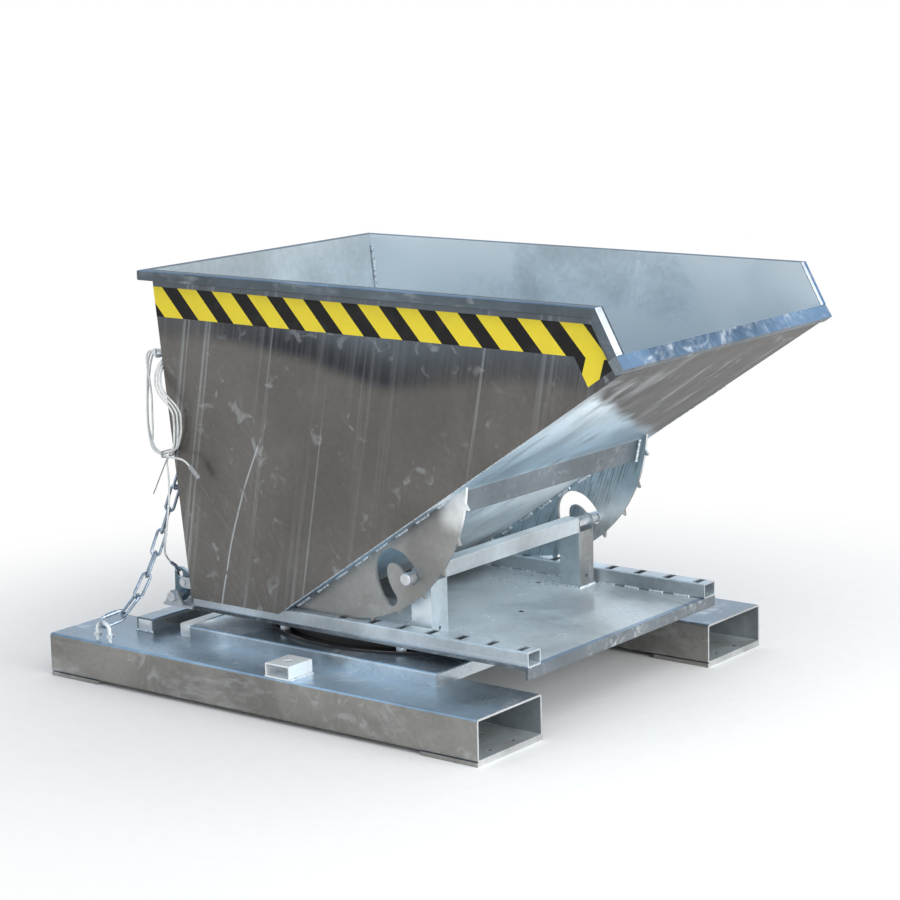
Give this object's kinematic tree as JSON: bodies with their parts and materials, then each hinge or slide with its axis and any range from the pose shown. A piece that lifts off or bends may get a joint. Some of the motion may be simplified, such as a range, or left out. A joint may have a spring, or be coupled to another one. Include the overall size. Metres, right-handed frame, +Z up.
{
  "type": "self-tipping hopper",
  "caption": "Galvanised self-tipping hopper on a turntable over fork tubes; toothed rockers roll in notched rails, with a latch, lock pin and safety chain.",
  "frame": {"origin": "on the floor, under the middle of the object's overall box", "axes": "+X the way the hopper tips, +Y towards the side away from the latch, +Z up"},
  "size_m": [1.313, 0.96, 0.819],
  "materials": {
    "galvanised_steel": "hot-dip galvanised sheet and tube, dull grey with streaks, runs and scuffs",
    "ring_black": "satin black paint, worn at the edges",
    "liner_nylon": "natural nylon strip",
    "tape_yellow": "yellow and black slanted hazard stripes",
    "fastener_zinc": "bright zinc plate",
    "chain_zinc": "zinc-plated chain, dulled",
    "pin_steel": "turned steel, zinc plated",
    "cable_pvc": "wire rope in a pale PVC sheath",
    "tie_plastic": "pale moulded plastic"
  },
  "bodies": {
    "base": {"fork_tube_near": "galvanised_steel", "fork_tube_far": "galvanised_steel", "foot_plates": "galvanised_steel", "base_pan": "galvanised_steel", "rear_cross_bar": "galvanised_steel", "rear_beam": "galvanised_steel", "lock_keepers": "galvanised_steel", "ring_lower": "ring_black", "ring_liner": "liner_nylon", "ring_bolts": "fastener_zinc", "chain_eye": "galvanised_steel", "chain_eye_collars": "fastener_zinc"},
    "turntable": {"ring_upper": "ring_black", "deck_plate": "galvanised_steel", "rail_near": "galvanised_steel", "rail_far": "galvanised_steel", "upright_near": "galvanised_steel", "upright_far": "galvanised_steel", "cross_bar": "galvanised_steel", "tilt_pin_near": "pin_steel", "tilt_pin_far": "pin_steel", "latch_bracket": "galvanised_steel", "latch_pivot_bolt": "fastener_zinc", "latch_spacers": "pin_steel", "lock_bracket": "galvanised_steel", "lock_guide": "galvanised_steel"},
    "carriage": {"release_cable": "cable_pvc"},
    "hopper": {"side_wall_near": "galvanised_steel", "side_wall_far": "galvanised_steel", "rear_wall": "galvanised_steel", "floor_sheet": "galvanised_steel", "rim_near": "galvanised_steel", "rim_far": "galvanised_steel", "rim_rear": "galvanised_steel", "front_lip": "galvanised_steel", "rocker_near": "galvanised_steel", "rocker_far": "galvanised_steel", "stiffener": "galvanised_steel", "hazard_tape_near": "tape_yellow", "hazard_tape_far": "tape_yellow", "catch_lugs": "galvanised_steel", "catch_pin": "pin_steel", "chain_hanger": "galvanised_steel", "cable_hook": "galvanised_steel", "cable_coil": "cable_pvc", "cable_tie": "tie_plastic", "cable_end_sleeve": "tie_plastic"},
    "latch": {"latch_lever": "galvanised_steel", "cable_shackle": "galvanised_steel"},
    "lock": {"lock_pin": "pin_steel", "lock_handle": "pin_steel"},
    "safety_chain": {"chain_links": "chain_zinc", "chain_snap_hook": "chain_zinc"}
  },
  "joints": [
    {"name": "turntable_turn", "type": "hinge", "parent": "base", "child": "turntable", "pos_m": [-0.0495, 0, 0.115], "axis": [0, 0, 1], "continuous": true},
    {"name": "roll_travel", "type": "slide", "parent": "turntable", "child": "carriage", "axis": [1, 0, 0], "range_m": [0, 0.357], "deforming": ["release_cable"]},
    {"name": "hopper_tip", "type": "hinge", "parent": "carriage", "child": "hopper", "pos_m": [-0.0295, 0, 0.4723], "axis": [0, 1, 0], "range_deg": [0, 68], "deforming": ["release_cable"]},
    {"name": "latch_release", "type": "hinge", "parent": "turntable", "child": "latch", "pos_m": [-0.4605, -0.298, 0.158], "axis": [0, -1, 0], "range_deg": [0, 30], "deforming": ["release_cable"]},
    {"name": "lock_lift", "type": "slide", "parent": "turntable", "child": "lock", "axis": [0, 0, 1], "range_m": [0, 0.03]},
    {"name": "chain_swing", "type": "hinge", "parent": "hopper", "child": "safety_chain", "pos_m": [-0.4497, -0.26846, 0.46659], "axis": [0.9925, -0.0424, -0.115], "range_deg": [0, 34.5]}
  ],
  "couplings": [
    {"joint": "roll_travel", "follows": "hopper_tip", "m_per_rad": 0.3},
    {"joint": "chain_swing", "follows": "hopper_tip", "ratio": 0.5}
  ]
}
